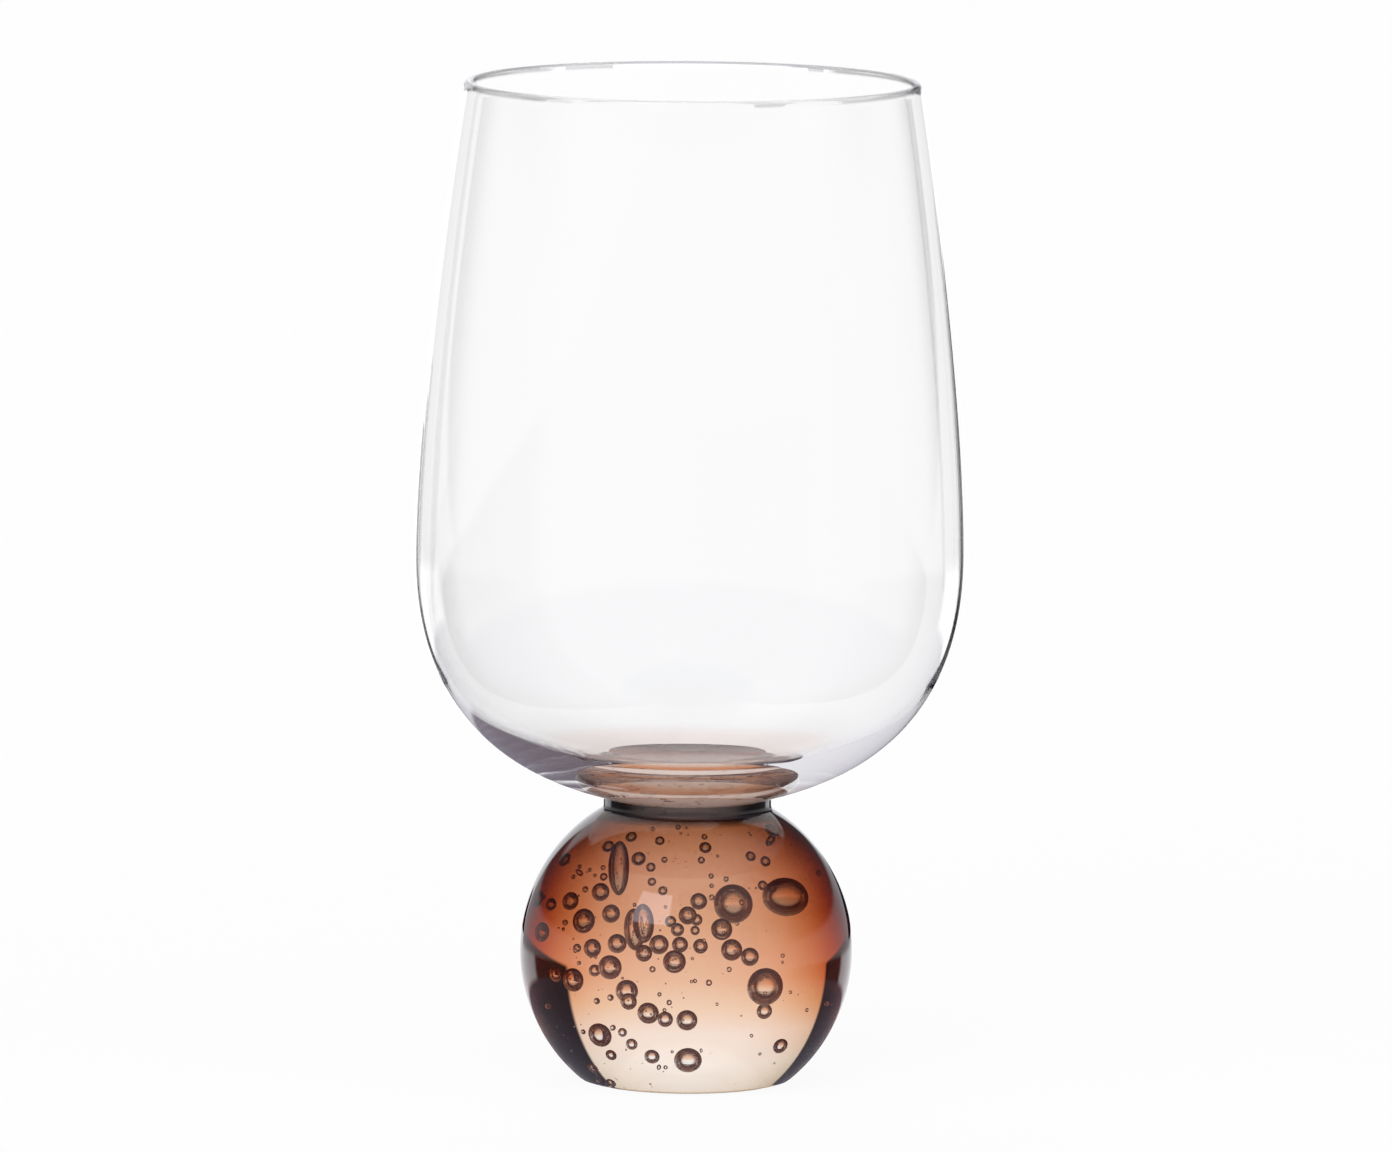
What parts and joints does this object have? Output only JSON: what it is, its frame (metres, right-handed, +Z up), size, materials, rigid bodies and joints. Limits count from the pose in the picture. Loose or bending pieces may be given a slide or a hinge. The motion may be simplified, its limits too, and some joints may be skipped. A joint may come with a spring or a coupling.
{
  "type": "goblet",
  "caption": "Drinking goblet: a thin clear blown-glass bowl on a solid amber glass ball full of air bubbles, standing on a ground flat.",
  "frame": {"origin": "centre of the flat under the ball, where the goblet stands", "axes": "+Z up along the goblet's axis; the pictured side faces -Y"},
  "size_m": [0.081, 0.081, 0.148],
  "materials": {
    "clear_glass": "clear, fire-polished blown glass",
    "amber_glass": "clear amber glass with air bubbles, polished, its underside ground flat"
  },
  "bodies": {
    "root": {"bowl": "clear_glass", "ball": "amber_glass"}
  },
  "joints": []
}
